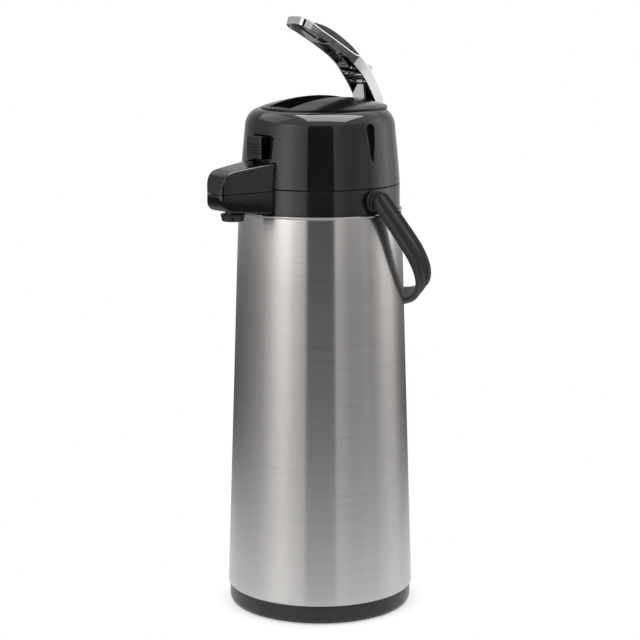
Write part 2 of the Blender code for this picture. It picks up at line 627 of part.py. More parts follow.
def make_lever():
    heel = (HINGE.y, HINGE.z)
    near, far = ARC_START + 8.0, ARC_END - 0.9
    top = lever_line(lambda a: 0.0, ARC_START, ARC_END, 14)
    under = lever_line(lambda a: -lever_depth(a), near, ARC_END, 12)
    frame = slab("lever_frame", arc(heel, HEEL_R, -160.0, ARC_START - 6, 9) + top + under[::-1],
                 LEVER_HALF, CHROME)
    seat = lever_line(lambda a: -seat_depth(a), PAD_START, PAD_END, 10)
    cut(frame, slab("pad_seat", seat + lever_line(lambda a: 9.0, PAD_START, PAD_END, 4)[::-1], 20.0))

    skin = lever_line(lambda a: -LEVER_SKIN - seat_depth(a), ARC_START, far, 18)
    below = lever_line(lambda a: -18.0, near, far, 8)
    hollow = arc(heel, HEEL_R - LEVER_SKIN, -50.0, ARC_START - 6, 5) + skin + below[::-1]
    hollow += [(40.0, 374.0), (40.0, 362.0), (54.0, 362.0)]
    cut(frame, slab("lever_hollow", hollow, LEVER_HALF - LEVER_SKIN))
    cut(frame, cross_rod("lever_hinge_bore", HINGE, 20.0, 2.0))
    cut(frame, cross_rod("link_bore", LINK_TOP, 20.0, 1.7))
    cross_rod("link_pin", LINK_TOP, LEVER_HALF + 0.2, 1.4, STEEL)
    cross_rod("lever_cross_bar", CROSS_BAR, LEVER_HALF - LEVER_SKIN - GAP, 2.1, CHROME)

    first, last = PAD_START + 0.3, PAD_END - 0.1
    pad_low = lever_line(lambda a: GAP - seat_depth(a), first, last, 10)
    pad_top = lever_line(pad_height, first, last, 12)
    slab("lever_pad", pad_low + pad_top[::-1], LEVER_HALF - 0.6, SATIN)


def make_lock_knob():
    y, z = around(REAR_ARC_R, KNOB_ANGLE)
    foot = Vector((KNOB_X, REAR_CENTRE[0] + y, REAR_CENTRE[1] + z))
    out = Vector((0.0, *around(1.0, KNOB_ANGLE)))
    rod("lock_knob", foot + out * GAP, foot + out * 3.9, 2.4, WHITE, 20)


def make_push_link():
    """A kite-shaped plate with an eye at each end, widest where it leaves the head."""
    along = LINK_LOW - LINK_TOP
    length = along.length
    right = [(2.6, 0.0), (6.4, length * 0.46), (3.9, length * 0.86), (3.9, length)]
    outline = right + [(-x, y) for x, y in right[::-1]]
    link = slab("push_link", outline, 0.9, CHROME, view="plan")
    down = along.normalized()
    side = Vector((1.0, 0.0, 0.0))
    turn = Matrix((side, down, side.cross(down))).transposed().to_4x4()
    link.matrix_world = Matrix.Translation(LINK_TOP * MM) @ turn
    join(link, cross_rod("link_eye_top", LINK_TOP, 3.0, 2.6))
    join(link, cross_rod("link_eye_low", LINK_LOW, 4.0, 4.0))
    cut(link, cross_rod("link_hole_top", LINK_TOP, 12.0, 1.75))
    cut(link, cross_rod("link_hole_low", LINK_LOW, 12.0, 2.8))


# ---------------------------------------------------------------- bail

def bow(inset, count=22):
    """Half of the bail's outline from the pivot to the middle of its bow, as (x, reach)."""
    wide = BAIL_OUT_X - inset
    rise = BAIL_REACH - BAIL_STRAIGHT - inset
    points = [(wide, -12.0)]
    for i in range(count):
        turn = math.pi / 2 * i / (count - 1)
        points.append((wide * max(0.0, math.cos(turn)) ** (2 / BAIL_POWER),
                       BAIL_STRAIGHT + rise * math.sin(turn) ** (2 / BAIL_POWER)))
    return points


def make_bail():
    outer, inner = bow(0.0), bow(BAIL_THICK)
    outline = outer + [(-x, y) for x, y in outer[-2::-1]]
    outline += [(-x, y) for x, y in inner] + [(x, y) for x, y in inner[-2::-1]]
    bail = slab("bail_handle", outline, 14.0, SATIN, view="plan")
    width = arc((0.0, 0.0), BAIL_HALF_END, 120.0, 240.0, 9) + [(45.0, -BAIL_HALF), (130.0, -BAIL_HALF)]
    width += [(130.0, BAIL_HALF), (45.0, BAIL_HALF)]
    edge = slab("bail_width", width, FAR)
    combine(bail, edge, "INTERSECT")
    turn = Matrix.Rotation(-math.radians(BAIL_ANGLE), 4, "X")
    lift = Matrix.Translation((0.0, 0.0, PIVOT_Z * MM))
    bail.matrix_world = lift @ turn
    edge.matrix_world = lift @ turn @ edge.matrix_world
    for side, name in ((-1, "left"), (1, "right")):
        cut(bail, rod("bail_bore_" + name, (side * 60.0, 0, PIVOT_Z), (side * 69.3, 0, PIVOT_Z), 3.3))


def main():
    make_base()
    make_shell()
    make_flask()
    make_collar()
    make_stem()
    make_spout()
    make_handle_mounts()
    make_head_shell()
    make_crown()
    make_lever_bracket()
    make_pump()
    make_plunger()
    make_latch()
    make_lever()
    make_lock_knob()
    make_push_link()
    make_bail()


main()
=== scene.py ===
"""Looks of the lever airpot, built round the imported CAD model.

Frame: origin on the body axis in the plane it stands on, +Z up, spout towards -Y.
Lengths of the object are written in millimetres, and MM turns them into metres; the studio's are in metres.
"""

import json
import math

import bmesh
import bpy
from mathutils import Matrix, Vector


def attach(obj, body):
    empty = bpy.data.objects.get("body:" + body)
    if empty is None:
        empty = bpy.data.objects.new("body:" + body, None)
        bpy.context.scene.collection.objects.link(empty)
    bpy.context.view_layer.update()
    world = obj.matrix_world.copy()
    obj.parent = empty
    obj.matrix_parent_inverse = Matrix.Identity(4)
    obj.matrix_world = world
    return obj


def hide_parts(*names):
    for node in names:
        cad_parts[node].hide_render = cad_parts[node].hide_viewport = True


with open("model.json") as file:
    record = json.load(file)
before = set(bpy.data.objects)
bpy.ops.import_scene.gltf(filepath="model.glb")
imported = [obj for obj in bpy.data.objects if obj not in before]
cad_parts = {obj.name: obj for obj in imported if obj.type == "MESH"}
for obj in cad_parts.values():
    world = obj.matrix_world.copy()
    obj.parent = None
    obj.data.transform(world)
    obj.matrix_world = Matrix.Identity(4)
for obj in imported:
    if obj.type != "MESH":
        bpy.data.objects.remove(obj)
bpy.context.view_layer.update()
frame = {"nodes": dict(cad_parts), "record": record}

MM = 0.001
ROUND_STEPS = 144             # sides of the big turned pieces
SMOOTH_ANGLE = 32.0           # degrees; sharper edges than this stay crisp

PIVOT_Z = 315.0               # height of the bail's pivots
LID_PIN = (64.5, 321.0)       # (y, z) of the pin that the head turns on
LID_BORE_R = 1.9
KNUCKLE_R = 4.2
EAR_X, EAR_HALF = 11.0, 3.0   # middle and half width of the collar's hinge ears


# ---------------------------------------------------------------- mesh helpers

def show(obj):
    bpy.context.scene.collection.objects.link(obj)
    return obj


def from_bmesh(name, work):
    bmesh.ops.recalc_face_normals(work, faces=work.faces)
    mesh = bpy.data.meshes.new(name)
    work.to_mesh(mesh)
    work.free()
    return show(bpy.data.objects.new(name, mesh))


def smooth(obj, angle=SMOOTH_ANGLE):
    obj.data.shade_smooth()
    obj.data.set_sharp_from_angle(angle=math.radians(angle))
    return obj


def arc(centre, radius, start, end, count, squash=1.0):
    """Points on an arc, angles in degrees; squash stretches it along the second axis."""
    points = []
    for i in range(count):
        angle = math.radians(start + (end - start) * i / (count - 1))
        points.append((centre[0] + radius * math.cos(angle), centre[1] + radius * squash * math.sin(angle)))
    return points


def rounded(outline, radius, count=4, sharp=()):
    """The closed outline with each corner rounded, apart from the corners numbered in sharp."""
    result = []
    size = len(outline)
    for i, corner in enumerate(outline):
        here = Vector(corner)
        before, after = Vector(outline[i - 1]), Vector(outline[(i + 1) % size])
        if i in sharp:
            result.append(tuple(here))
            continue
        back, forth = before - here, after - here
        reach_back = min(radius, back.length * 0.45)
        reach_forth = min(radius, forth.length * 0.45)
        start = here + back.normalized() * reach_back
        end = here + forth.normalized() * reach_forth
        for k in range(count + 1):
            t = k / count
            result.append(tuple(start * (1 - t) ** 2 + here * 2 * t * (1 - t) + end * t ** 2))
    return result


def turned(name, outline, steps=ROUND_STEPS, centre=(0.0, 0.0)):
    """Turn a closed outline of (radius, z) about a vertical axis."""
    work = bmesh.new()
    rings = []
    for r, z in outline:
        if r < 0.001:
            rings.append([work.verts.new((centre[0] * MM, centre[1] * MM, z * MM))] * steps)
            continue
        ring = []
        for k in range(steps):
            angle = 2 * math.pi * k / steps
            ring.append(work.verts.new(((centre[0] + r * math.cos(angle)) * MM,
                                        (centre[1] + r * math.sin(angle)) * MM, z * MM)))
        rings.append(ring)
    count = len(outline)
    for i in range(count):
        low, high = rings[i], rings[(i + 1) % count]
        if outline[i][0] < 0.001 and outline[(i + 1) % count][0] < 0.001:
            continue
        for k in range(steps):
            n = (k + 1) % steps
            corners = list(dict.fromkeys([low[k], low[n], high[n], high[k]]))
            work.faces.new(corners)
    return smooth(from_bmesh(name, work))


def rod(name, start, end, radius, sides=48, edge=0.25):
    """A round bar between two points, with softly rounded ends."""
    start, end = Vector(start), Vector(end)
    length = (end - start).length
    outline = [(0.0, 0.0), (radius - edge, 0.0), (radius - edge * 0.3, edge * 0.3), (radius, edge),
               (radius, length - edge), (radius - edge * 0.3, length - edge * 0.3), (radius - edge, length),
               (0.0, length)]
    obj = turned(name, outline, sides)
    turn = (end - start).to_track_quat("Z", "Y").to_matrix().to_4x4()
    obj.data.transform(Matrix.Translation(start * MM) @ turn)
    return obj


def prism(name, outline, low, high, view="side"):
    """Extrude a flat outline: side is (y, z) along X, plan is (x, y) along Z."""
    work = bmesh.new()
    ends = []
    for level in (low, high):
        ring = []
        for a, b in outline:
            point = (level, a, b) if view == "side" else (a, b, level)
            ring.append(work.verts.new(Vector(point) * MM))
        ends.append(ring)
        work.faces.new(ring)
    size = len(outline)
    for i in range(size):
        n = (i + 1) % size
        work.faces.new([ends[0][i], ends[0][n], ends[1][n], ends[1][i]])
    return smooth(from_bmesh(name, work))


def block(name, low, high):
    outline = [(low[0], low[1]), (high[0], low[1]), (high[0], high[1]), (low[0], high[1])]
    return prism(name, outline, low[2], high[2], view="plan")


def loft(name, loops):
    """Skin a row of closed loops of points, with a flat face on both ends."""
    work = bmesh.new()
    rings = [[work.verts.new(Vector(point) * MM) for point in loop] for loop in loops]
    size = len(rings[0])
    for first, second in zip(rings, rings[1:]):
        for i in range(size):
            n = (i + 1) % size
            work.faces.new([first[i], first[n], second[n], second[i]])
    work.faces.new(rings[0])
    work.faces.new(rings[-1])
    return smooth(from_bmesh(name, work))


def bake(obj):
    """Turn an object's modifiers into its mesh."""
    bpy.context.view_layer.update()
    depsgraph = bpy.context.evaluated_depsgraph_get()
    mesh = bpy.data.meshes.new_from_object(obj.evaluated_get(depsgraph))
    obj.modifiers.clear()
    obj.data = mesh
    return obj


def combine(obj, operation, *others):
    for other in others:
        modifier = obj.modifiers.new(operation, "BOOLEAN")
        modifier.operation = operation
        modifier.solver = "EXACT"
        modifier.object = other
    bake(obj)
    for other in others:
        bpy.data.objects.remove(other, do_unlink=True)
    return smooth(obj)


def cut(obj, *others):
    return combine(obj, "DIFFERENCE", *others)


def join(obj, *others):
    return combine(obj, "UNION", *others)


def soften(obj, width, segments=3, angle=30.0):
    """Round every edge sharper than the angle, and keep flat faces flat."""
    modifier = obj.modifiers.new("soften", "BEVEL")
    modifier.width = width * MM
    modifier.segments = segments
    modifier.limit_method = "ANGLE"
    modifier.angle_limit = math.radians(angle)
    modifier.harden_normals = False
    bake(obj)
    return smooth(obj, 50.0)


def weigh_normals(obj):
    modifier = obj.modifiers.new("normals", "WEIGHTED_NORMAL")
    modifier.keep_sharp = True
    modifier.weight = 80
    return obj


# ---------------------------------------------------------------- materials

def shader_of(mat):
    return mat.node_tree.nodes["Principled BSDF"]


def new_material(name, colour, roughness, metallic=0.0):
    mat = bpy.data.materials.new(name)
    mat.use_nodes = True
    shader = shader_of(mat)
    shader.inputs["Base Color"].default_value = (*colour, 1.0)
    shader.inputs["Roughness"].default_value = roughness
    shader.inputs["Metallic"].default_value = metallic
    return mat


def noise(mat, scale, detail=3.0, stretch=(1.0, 1.0, 1.0)):
    """A noise pattern fixed to the piece; stretch scales it along X, Y and Z."""
    nodes, links = mat.node_tree.nodes, mat.node_tree.links
    where = nodes.new("ShaderNodeTexCoord")
    mapping = nodes.new("ShaderNodeMapping")
    mapping.inputs["Scale"].default_value = stretch
    texture = nodes.new("ShaderNodeTexNoise")
    texture.inputs["Scale"].default_value = scale
    texture.inputs["Detail"].default_value = detail
    links.new(where.outputs["Object"], mapping.inputs["Vector"])
    links.new(mapping.outputs["Vector"], texture.inputs["Vector"])
    return texture.outputs["Fac"]


def between(mat, value, low, high):
    """Map a pattern onto the range from low to high."""
    node = mat.node_tree.nodes.new("ShaderNodeMapRange")
    node.inputs["From Min"].default_value = 0.3
    node.inputs["From Max"].default_value = 0.7
    node.inputs["To Min"].default_value = low
    node.inputs["To Max"].default_value = high
    mat.node_tree.links.new(value, node.inputs["Value"])
    return node.outputs["Result"]


def vary_roughness(mat, value, low, high):
    mat.node_tree.links.new(between(mat, value, low, high), shader_of(mat).inputs["Roughness"])


def vary_colour(mat, value, dark, light):
    ramp = mat.node_tree.nodes.new("ShaderNodeValToRGB")
    ramp.color_ramp.elements[0].position = 0.3
    ramp.color_ramp.elements[1].position = 0.7
    ramp.color_ramp.elements[0].color = (*dark, 1.0)
    ramp.color_ramp.elements[1].color = (*light, 1.0)
    mat.node_tree.links.new(value, ramp.inputs["Fac"])
    mat.node_tree.links.new(ramp.outputs["Color"], shader_of(mat).inputs["Base Color"])


def bump(mat, value, height, strength=1.0):
    node = mat.node_tree.nodes.new("ShaderNodeBump")
    node.inputs["Distance"].default_value = height
    node.inputs["Strength"].default_value = strength
    links = mat.node_tree.links
    links.new(value, node.inputs["Height"])
    links.new(node.outputs["Normal"], shader_of(mat).inputs["Normal"])


def brushed_steel():
    """Steel brushed round the body: streaks run level, so reflections smear up and down."""
    mat = new_material("brushed_steel", (0.56, 0.55, 0.54), 0.3, 1.0)
    streaks = noise(mat, 1.0, 4.0, (9.0, 9.0, 3200.0))
    vary_colour(mat, streaks, (0.595, 0.582, 0.571), (0.64, 0.627, 0.615))
    vary_roughness(mat, noise(mat, 1.0, 3.0, (14.0, 14.0, 1500.0)), 0.225, 0.265)
    bump(mat, streaks, 0.0000008)
    nodes, links = mat.node_tree.nodes, mat.node_tree.links
    tangent = nodes.new("ShaderNodeTangent")
    tangent.direction_type = "RADIAL"
    tangent.axis = "Z"
    links.new(tangent.outputs["Tangent"], shader_of(mat).inputs["Tangent"])
    shader_of(mat).inputs["Anisotropic"].default_value = 1.0
    shader_of(mat).inputs["Anisotropic Rotation"].default_value = 0.25
    return mat


def metal(name, colour, low, high, scale=160.0, stretch=(1.0, 1.0, 1.0), height=0.000004):
    mat = new_material(name, colour, (low + high) / 2, 1.0)
    grain = noise(mat, scale, 3.0, stretch)
    vary_roughness(mat, grain, low, high)
    dark = tuple(c * 0.94 for c in colour)
    light = tuple(min(1.0, c * 1.05) for c in colour)
    vary_colour(mat, noise(mat, scale * 0.4), dark, light)
    bump(mat, grain, height)
    return mat


def gloss_plastic(name, colour, low, high):
    """Polished moulding: a faint orange peel and slightly uneven polish."""
    mat = new_material(name, colour, (low + high) / 2)
    vary_roughness(mat, noise(mat, 55.0, 4.0), low, high)
    vary_colour(mat, noise(mat, 30.0), tuple(c * 0.8 for c in colour), tuple(c * 1.25 for c in colour))
    bump(mat, noise(mat, 260.0, 2.0), 0.000006)
    shader_of(mat).inputs["Specular Tint"].default_value = (1.0, 0.95, 1.0, 1.0)
    return mat


def satin_plastic(name, colour, low, high, grain=1500.0, height=0.00003):
    """Moulding with a fine spark-eroded texture."""
    mat = new_material(name, colour, (low + high) / 2)
    texture = noise(mat, grain, 3.0)
    vary_roughness(mat, noise(mat, 70.0, 4.0), low, high)
    vary_colour(mat, noise(mat, 45.0, 4.0), tuple(c * 0.85 for c in colour), tuple(c * 1.2 for c in colour))
    bump(mat, texture, height)
    return mat


def silicone():
    mat = satin_plastic("clear_silicone", (0.66, 0.66, 0.63), 0.38, 0.5, 500.0, 0.00001)
    shader_of(mat).inputs["Subsurface Weight"].default_value = 0.35
    shader_of(mat).inputs["Subsurface Radius"].default_value = (0.004, 0.004, 0.004)
    return mat


MATERIALS = {
    "brushed_steel": brushed_steel(),
    "plain_steel": metal("plain_steel", (0.58, 0.58, 0.59), 0.2, 0.3, 300.0),
    "chrome": metal("chrome", (0.80, 0.79, 0.81), 0.05, 0.11, 90.0, height=0.000002),
    "gloss_black": gloss_plastic("gloss_black", (0.0062, 0.0056, 0.0060), 0.035, 0.065),
    "satin_black": satin_plastic("satin_black", (0.030, 0.030, 0.032), 0.36, 0.46),
    "black_rubber": satin_plastic("black_rubber", (0.020, 0.020, 0.020), 0.68, 0.82, 900.0, 0.00004),
    "clear_silicone": silicone(),
    "silvered_glass": metal("silvered_glass", (0.76, 0.77, 0.78), 0.03, 0.07, 40.0),
    "white_plastic": satin_plastic("white_plastic", (0.70, 0.69, 0.74), 0.3, 0.4, 900.0, 0.00001),
}
COLLAR_BLACK = gloss_plastic("collar_black", (0.0115, 0.011, 0.0115), 0.10, 0.16)
BASE_BLACK = satin_plastic("base_black", (0.011, 0.011, 0.013), 0.24, 0.32, 1200.0, 0.00001)
BAIL_BLACK = satin_plastic("bail_black", (0.019, 0.019, 0.020), 0.34, 0.44, 1100.0, 0.00002)
# Near-black without reflection: painted shade, laid on the head's side dents and the latch button's sides
# where shade falls
SHADE_PAINT_BLACK = satin_plastic("shade_paint_black", (0.0012, 0.0014, 0.0015), 0.45, 0.55)
shader_of(SHADE_PAINT_BLACK).inputs["Specular IOR Level"].default_value = 0.03
SPOUT_BLACK = gloss_plastic("spout_black", (0.0045, 0.0048, 0.0054), 0.04, 0.07)
CROWN_BLACK = gloss_plastic("crown_black", (0.0125, 0.0098, 0.0096), 0.13, 0.19)
shader_of(CROWN_BLACK).inputs["Specular IOR Level"].default_value = 0.22
LINK_METAL = metal("link_metal", (0.84, 0.83, 0.86), 0.26, 0.36, 200.0)

for entry in frame["record"]["subparts"]:
    for material_slot in frame["nodes"][entry["node"]].material_slots:
        material_slot.material = MATERIALS[entry["material_slot"]]


def dress(obj, body, slot, *nodes, finish=None):
    """Give a piece its material, let it ride on its body and say which CAD nodes it stands for."""
    obj.data.materials.clear()
    obj.data.materials.append(finish or MATERIALS[slot])
    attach(obj, body)
    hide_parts(*nodes)
    return obj


# ---------------------------------------------------------------- pot

def make_base():
    """Black base ring and the rubber ring that the pot stands on."""
    outline = rounded([(61.5, 22.0), (65.6, 22.0), (65.6, 14.3), (69.6, 14.3), (69.6, 3.8), (68.4, 0.8),
                       (66.2, 0.8), (66.2, 2.9), (62.0, 2.9), (62.0, 0.8), (59.2, 0.8), (59.2, 12.0),
                       (61.5, 13.6)], 0.9, 4)
    dress(turned("base_ring_looks", outline), "pot", "satin_black", "base_ring", finish=BASE_BLACK)
    foot = rounded([(62.3, 2.6), (65.9, 2.6), (65.9, 0.0), (62.3, 0.0)], 0.4, 3)
    dress(turned("foot_ring_looks", foot), "pot", "black_rubber", "foot_ring")


def make_shell():
    """Tapered steel tube with a rolled bead and a fine groove at its top, turned in at its bottom."""
    wall, top = 0.8, 304.7
    bead = arc((60.75, 303.9), 0.75, 130.0, -40.0, 9)
    outside = [(60.05, top - 0.35)] + bead + [(61.02, 303.0), (60.92, 302.6), (61.0, 302.2), (61.2, 301.0),
                                             (62.85, 253.0), (65.5, 172.0), (68.1, 94.0), (70.55, 21.0),
                                             (70.75, 16.0), (70.7, 15.1), (70.3, 14.7), (69.8, 14.6)]
    inside = [(66.0, 14.6), (66.0, 14.6 + wall), (69.8, 14.6 + wall), (60.1, 302.0)]
    dress(turned("outer_shell_looks", outside + inside, 192), "pot", "brushed_steel", "outer_shell")


def make_collar():
    """Ring under the head, with the two ears of the lid's hinge and a notch for the spout."""
    outline = rounded([(57.0, 323.3), (59.7, 323.3), (59.9, 305.0), (59.5, 305.0), (59.5, 297.0),
                       (56.5, 297.0), (56.5, 304.0), (46.0, 304.0), (46.0, 306.6), (57.0, 306.6)],
                      0.45, 3, sharp=(2, 3))
    collar = turned("collar_looks", outline)
    ear = [(57.3, 307.5), (60.5, 307.5), (66.5, 315.0)] + arc(LID_PIN, KNUCKLE_R, -20.0, 180.0, 17)
    ear.append((57.3, 320.5))
    ears = []
    for side in (-1, 1):
        middle = side * EAR_X
        ears.append(soften(prism("ear_%d" % side, ear, middle - EAR_HALF, middle + EAR_HALF), 0.4, 2, 50.0))
    join(collar, *ears)
    cut(collar, rod("lid_bore", (-20, *LID_PIN), (20, *LID_PIN), LID_BORE_R),
        block("notch", (-16.2, -90.0, 304.8), (16.2, -54.0, 340.0)),
        rod("boss_bore", (-90, 0, PIVOT_Z), (90, 0, PIVOT_Z), 5.0))
    dress(collar, "pot", "satin_black", "collar", finish=COLLAR_BLACK)


def make_bosses():
    """Two stacked discs between the collar and the bail on each side."""
    for side, name in ((-1, "left"), (1, "right")):
        outline = rounded([(3.3, 56.6), (4.6, 56.6), (4.6, 60.2), (8.2, 60.2), (8.2, 62.5), (6.0, 62.8),
                           (6.0, 63.5), (7.7, 63.6), (7.7, 65.3), (3.3, 65.3)], 0.55, 4)
        boss = turned("handle_boss_%s_looks" % name, outline, 72)
        turn = Matrix.Rotation(side * math.pi / 2, 4, "Y")
        boss.data.transform(Matrix.Translation((0.0, 0.0, PIVOT_Z * MM)) @ turn)
        dress(boss, "pot", "satin_black", "handle_boss_" + name, finish=BAIL_BLACK)


# Side and top view of the spout: (y, lower z, upper z, half width) from its root to its tip
SPOUT = ((-54.5, 305.3, 342.4, 15.7), (-57.4, 305.5, 342.4, 15.7), (-62.0, 306.0, 342.2, 15.1),
         (-70.0, 306.8, 341.4, 14.1), (-78.0, 307.6, 340.5, 13.1), (-86.0, 308.4, 339.5, 12.1),
         (-90.5, 308.9, 338.9, 11.5), (-93.4, 309.4, 338.2, 11.1), (-95.6, 310.0, 337.1, 10.8),
         (-97.4, 311.2, 335.4, 10.4), (-98.9, 312.8, 332.7, 9.8), (-100.0, 314.8, 329.4, 8.8),
         (-100.9, 317.4, 325.6, 7.0), (-101.3, 319.6, 323.4, 4.6))
SPOUT_CORNER, SPOUT_WALL = 1.9, 2.2
SPOUT_CORE_CORNER = 1.0
SPOUT_CORE_END = -98.5        # past this the tip is solid
SEAM_Z, SEAM_GAP = 322.35, 0.28
CORNER_STEPS = 7
NOZZLE_Y, GRIP_SLOTS = -83.5, 6


def spout_loop(y, low, high, half, corner):
    """A rounded box standing across the spout's length."""
    corner = min(corner, half * 0.95, (high - low) * 0.45)
    right, left = half - corner, corner - half
    top, bottom = high - corner, low + corner
    loop = []
    for x, z, start in ((right, top, 0.0), (left, top, 90.0), (left, bottom, 180.0), (right, bottom, 270.0)):
        for k in range(CORNER_STEPS):
            angle = math.radians(start + 90.0 / (CORNER_STEPS - 1) * k)
            loop.append((x + corner * math.cos(angle), y, z + corner * math.sin(angle)))
    return loop


def make_spout():
    """One rounded wedge, hollow inside, parted along a fine seam into cover and base."""
    loops, core_loops = [], [spout_loop(-10.0, 308.0, 340.0, 13.0, SPOUT_CORE_CORNER)]
    for y, low, high, half in SPOUT:
        loops.append(spout_loop(y, low, high, half, SPOUT_CORNER))
        if y > SPOUT_CORE_END:
            core_loops.append(spout_loop(y, low + SPOUT_WALL, high - SPOUT_WALL, half - SPOUT_WALL,
                                         SPOUT_CORE_CORNER))
    body = smooth(loft("spout_body", loops), 55.0)
    core = loft("spout_core", core_loops)
    cut(body, core, rod("nozzle_hole", (0, NOZZLE_Y, 300.0), (0, NOZZLE_Y, 316.0), 6.0))
    base = show(bpy.data.objects.new("spout_base_looks", body.data.copy()))
    body.name = "spout_cover_looks"
    cut(body, block("below", (-40, -120, 290.0), (40, -20, SEAM_Z + SEAM_GAP)))
    cut(base, block("above", (-40, -120, SEAM_Z - SEAM_GAP), (40, -20, 360.0)))
    for half, node in ((body, "spout_cover"), (base, "spout_base")):
        smooth(half, 50.0)
        dress(weigh_normals(half), "pot", "gloss_black", node, finish=SPOUT_BLACK)


def make_nozzle():
    """Short tapered outlet with six grip slots round its rim."""
    outline = rounded([(3.4, 315.6), (5.6, 315.6), (5.6, 306.8), (9.0, 306.8), (8.9, 305.9), (7.75, 301.6),
                       (3.4, 301.6)], 0.35, 3, sharp=(0, 1, 2))
    nozzle = turned("nozzle_looks", outline, 72, (0.0, NOZZLE_Y))
    slots = []
    for i in range(GRIP_SLOTS):
        angle = math.radians(20 + 360 / GRIP_SLOTS * i)
        slot = block("slot_%d" % i, (6.9, -0.9, 300.0), (10.0, 0.9, 304.9))
        place = Matrix.Translation((0.0, NOZZLE_Y * MM, 0.0)) @ Matrix.Rotation(angle, 4, "Z")
        slot.data.transform(place)
        slots.append(slot)
    cut(nozzle, *slots)
    dress(nozzle, "pot", "satin_black", "nozzle", finish=BAIL_BLACK)


# ---------------------------------------------------------------- head

HEAD_TOP_R = 44.5             # where the shoulder ends, under the crown
SHOULDER_Z = 364.5
SHOULDER_R, SHOULDER_RISE = 11.6, 14.4
SIDE_BREAK_Z, SIDE_BREAK_R = 347.4, 57.8
SCOOP_R = 6.0                 # radius of the round cutter that makes the side dents
SCOOP_TOP, SCOOP_LOW = (60.3, 367.6), (64.2, 343.4)     # the cutter's ends, (x, z)
DENT_SHADE_X = 40.0                 # faces further out than this, within these heights and these depths under the surface, are the dents'; they get painted shade
DENT_SHADE_Z = (343.0, 374.0)       # and these depths under the surface, are the dents'
DENT_SHADE_DEPTH = (0.08, 2.0)


def head_radius(z):
    """Outer radius of the head at a height."""
    if z < SIDE_BREAK_Z:
        return SIDE_BREAK_R + (SIDE_BREAK_Z - z) * 0.092
    if z < SHOULDER_Z:
        return HEAD_TOP_R + SHOULDER_R + (SHOULDER_Z - z) * 0.0994
    return HEAD_TOP_R + SHOULDER_R * math.sqrt(max(0.0, 1 - ((z - SHOULDER_Z) / SHOULDER_RISE) ** 2))


def make_head():
    """Glossy shell of the lid, with the latch's window, the spout's notch and a dent on each side."""
    wall = 2.2
    shoulder = arc((HEAD_TOP_R, SHOULDER_Z), SHOULDER_R, 90.0, 0.0, 22, SHOULDER_RISE / SHOULDER_R)
    outside = shoulder + [(56.9, 356.0), (SIDE_BREAK_R, SIDE_BREAK_Z), (58.35, 341.0), (58.9, 335.4),
                          (59.4, 328.5), (59.66, 324.3), (59.6, 323.8), (59.3, 323.6)]
    inner = arc((HEAD_TOP_R, SHOULDER_Z), SHOULDER_R - wall, 90.0, 0.0, 12,
                (SHOULDER_RISE - wall) / (SHOULDER_R - wall))
    inside = inner + [(SIDE_BREAK_R - wall, SIDE_BREAK_Z), (56.7, 335.4), (57.5, 323.6)]
    head = turned("head_shell_looks", outside + inside[::-1], 192)
    knuckle = arc(LID_PIN, KNUCKLE_R, 180.0, 400.0, 20) + [(57.4, 334.0), (57.4, 324.0), (60.3, 324.0)]
    join(head, soften(prism("knuckle", knuckle, -7.6, 7.6), 0.4, 2, 50.0))
    scoops = []
    for side in (-1, 1):
        top, low = (Vector((side * x, 0.0, z)) for x, z in (SCOOP_TOP, SCOOP_LOW))
        scoops.append(rod("scoop_%d" % side, top, low, SCOOP_R, 64, 0.3))
        outline = [(0.0, -SCOOP_R)] + arc((0.0, 0.0), SCOOP_R, -80.0, 80.0, 25) + [(0.0, SCOOP_R)]
        ball = turned("scoop_end_%d" % side, outline, 64)
        ball.data.transform(Matrix.Translation(top * MM))
        scoops.append(ball)
    cut(head, block("spout_notch", (-16.3, -90.0, 310.0), (16.3, -50.0, 343.0)),
        block("latch_slot", (-9.5, -90.0, 342.9), (9.5, -50.0, 362.4)),
        block("heel_notch", (-12.6, 36.0, 364.5), (12.6, 90.0, 400.0)),
        rod("lid_bore", (-20, *LID_PIN), (20, *LID_PIN), LID_BORE_R), *scoops)
    soften(head, 0.35, 2, 42.0)
    dress(weigh_normals(head), "head", "gloss_black", "head_shell")
    # Painted shade: faces inside the side dents get the near-black instead of the gloss
    head.data.materials.append(SHADE_PAINT_BLACK)
    for face in head.data.polygons:
        x, y, z = face.center / MM
        depth = head_radius(z) - math.hypot(x, y)
        at_side = abs(y) < SCOOP_R and abs(x) > DENT_SHADE_X
        if at_side and DENT_SHADE_Z[0] < z < DENT_SHADE_Z[1] and DENT_SHADE_DEPTH[0] < depth < DENT_SHADE_DEPTH[1]:
            face.material_index = 1


CROWN_R, CROWN_RISE, CROWN_EDGE_Z = 44.2, 7.6, 380.2
CROWN_Y, CROWN_STRETCH = 4.5, 1.1


def dome(name, inset, skirt, rings=22, steps=ROUND_STEPS):
    """Low dome with an egg-shaped plan, longer towards the back, pulled in by inset."""
    radius = CROWN_R - inset
    big = (radius ** 2 + CROWN_RISE ** 2) / (2 * CROWN_RISE)
    edge = math.degrees(math.acos(radius / big))
    outline = arc((0.0, CROWN_EDGE_Z - inset + CROWN_RISE - big), big, 90.0, edge, rings)
    outline[0] = (0.0, outline[0][1])
    obj = turned(name, outline + [(radius, skirt), (0.0, skirt)], steps)
    stretch = Matrix.Diagonal((1.0, CROWN_STRETCH, 1.0, 1.0))
    obj.data.transform(Matrix.Translation((0.0, CROWN_Y * MM, 0.0)) @ stretch)
    return obj


